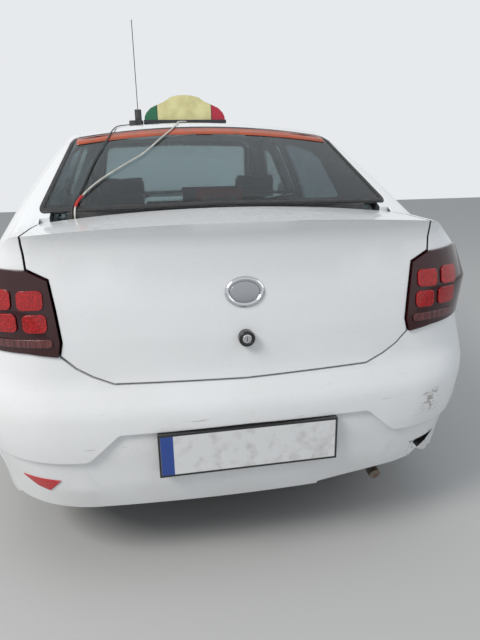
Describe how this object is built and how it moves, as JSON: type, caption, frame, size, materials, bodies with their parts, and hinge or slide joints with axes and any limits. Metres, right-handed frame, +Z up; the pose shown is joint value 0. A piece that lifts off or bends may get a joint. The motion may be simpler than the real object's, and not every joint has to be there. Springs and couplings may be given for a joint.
{
  "type": "compact saloon taxi cab",
  "caption": "White compact four-door saloon taxi with a lit roof sign, opening doors, bonnet and boot lid, and steered front wheels.",
  "frame": {"origin": "on the ground under the middle of the car's bounding box", "axes": "+Z up, +Y towards the front, +X towards the car's right-hand side"},
  "size_m": [2.066, 4.37, 2.0479],
  "materials": {
    "white_paint": "gloss, dusty",
    "white_plastic": "painted gloss, scuffed",
    "tinted_glass": "dark tint",
    "clear_lens": "clear lens",
    "red_lens": "moulded lens",
    "black_plastic": "grained",
    "grey_trim": "grained",
    "white_plate": "blank sheet",
    "seat_cloth": "woven",
    "grey_iron": "rough cast",
    "dark_steel": "painted, road film",
    "exhaust_steel": "dull",
    "sign_hood": "translucent moulding",
    "tyre_rubber": "worn black",
    "wheel_silver": "painted silver",
    "white_lead": "sheathed lead",
    "black_rubber": "sheathed lead"
  },
  "bodies": {
    "car_body": {"floor_pan": "white_paint", "boot_floor": "white_paint", "tail_lamp_cells": "red_lens", "engine_bay_frame": "white_paint", "body_side_right": "white_paint", "body_side_left": "white_paint", "roof_panel": "white_paint", "rear_shelf": "grey_trim", "rear_panel": "white_paint", "front_wings": "white_paint", "front_bumper": "white_plastic", "rear_bumper": "white_plastic", "windscreen": "tinted_glass", "rear_window": "tinted_glass", "headlamps": "clear_lens", "tail_lamps": "red_lens", "reflector": "red_lens", "grille": "black_plastic", "number_plates": "white_plate", "wipers": "black_plastic", "dashboard": "grey_trim", "front_seats": "seat_cloth", "rear_bench": "seat_cloth", "engine_block": "grey_iron", "front_subframe": "dark_steel", "rear_axle": "dark_steel", "exhaust": "exhaust_steel", "fuel_tank": "black_plastic", "high_brake_lamp": "black_plastic", "roof_sign": "sign_hood", "antenna": "black_plastic", "sign_lead": "white_lead", "antenna_lead": "black_rubber"},
    "bonnet": {"bonnet": "white_paint"},
    "boot_lid": {"boot_lid": "white_paint"},
    "steering_wheel": {"steering_wheel": "black_plastic"},
    "front_door_left": {"front_door_left": "white_paint", "front_door_glass_left": "tinted_glass", "mirror_left": "black_plastic"},
    "rear_door_left": {"rear_door_left": "white_paint", "rear_door_glass_left": "tinted_glass"},
    "knuckle_left": {"knuckle_left": "dark_steel"},
    "front_wheel_left": {"front_tyre_left": "tyre_rubber", "front_rim_left": "wheel_silver"},
    "rear_wheel_left": {"rear_tyre_left": "tyre_rubber", "rear_rim_left": "wheel_silver"},
    "front_door_right": {"front_door_right": "white_paint", "front_door_glass_right": "tinted_glass", "mirror_right": "black_plastic"},
    "rear_door_right": {"rear_door_right": "white_paint", "rear_door_glass_right": "tinted_glass"},
    "knuckle_right": {"knuckle_right": "dark_steel"},
    "front_wheel_right": {"front_tyre_right": "tyre_rubber", "front_rim_right": "wheel_silver"},
    "rear_wheel_right": {"rear_tyre_right": "tyre_rubber", "rear_rim_right": "wheel_silver"}
  },
  "joints": [
    {"name": "steering_turn", "type": "hinge", "parent": "car_body", "child": "steering_wheel", "pos_m": [-0.37, 0.44, 0.792], "axis": [0, -0.9061, 0.4231], "range_deg": [-480, 480]},
    {"name": "steer_left", "type": "hinge", "parent": "car_body", "child": "knuckle_left", "pos_m": [-0.69, 1.349, 0.19], "axis": [0.1716, 0, 0.9852], "range_deg": [-32.5, 32.5]},
    {"name": "front_wheel_left_spin", "type": "hinge", "parent": "knuckle_left", "child": "front_wheel_left", "pos_m": [-0.748, 1.349, 0.311], "axis": [1, 0, 0], "continuous": true},
    {"name": "rear_wheel_left_spin", "type": "hinge", "parent": "car_body", "child": "rear_wheel_left", "pos_m": [-0.743, -1.285, 0.311], "axis": [1, 0, 0], "continuous": true},
    {"name": "front_door_left_swing", "type": "hinge", "parent": "car_body", "child": "front_door_left", "pos_m": [-0.862, 0.86, 0.6], "axis": [0, 0, -1], "range_deg": [0, 65]},
    {"name": "rear_door_left_swing", "type": "hinge", "parent": "car_body", "child": "rear_door_left", "pos_m": [-0.862, -0.232, 0.6], "axis": [0, 0, -1], "range_deg": [0, 68]},
    {"name": "steer_right", "type": "hinge", "parent": "car_body", "child": "knuckle_right", "pos_m": [0.69, 1.349, 0.19], "axis": [-0.1716, 0, 0.9852], "range_deg": [-32.5, 32.5]},
    {"name": "front_wheel_right_spin", "type": "hinge", "parent": "knuckle_right", "child": "front_wheel_right", "pos_m": [0.748, 1.349, 0.311], "axis": [1, 0, 0], "continuous": true},
    {"name": "rear_wheel_right_spin", "type": "hinge", "parent": "car_body", "child": "rear_wheel_right", "pos_m": [0.743, -1.285, 0.311], "axis": [1, 0, 0], "continuous": true},
    {"name": "front_door_right_swing", "type": "hinge", "parent": "car_body", "child": "front_door_right", "pos_m": [0.862, 0.86, 0.6], "axis": [0, 0, 1], "range_deg": [0, 65]},
    {"name": "rear_door_right_swing", "type": "hinge", "parent": "car_body", "child": "rear_door_right", "pos_m": [0.862, -0.232, 0.6], "axis": [0, 0, 1], "range_deg": [0, 68]},
    {"name": "bonnet_lift", "type": "hinge", "parent": "car_body", "child": "bonnet", "pos_m": [0, 1.286, 0.992], "axis": [1, 0, 0], "range_deg": [0, 50]},
    {"name": "boot_lid_lift", "type": "hinge", "parent": "car_body", "child": "boot_lid", "pos_m": [0, -1.61, 1.078], "axis": [-1, 0, 0], "range_deg": [0, 78]}
  ],
  "couplings": [
    {"joint": "steer_left", "follows": "steering_turn", "ratio": 0.06667},
    {"joint": "steer_right", "follows": "steering_turn", "ratio": 0.06667}
  ]
}
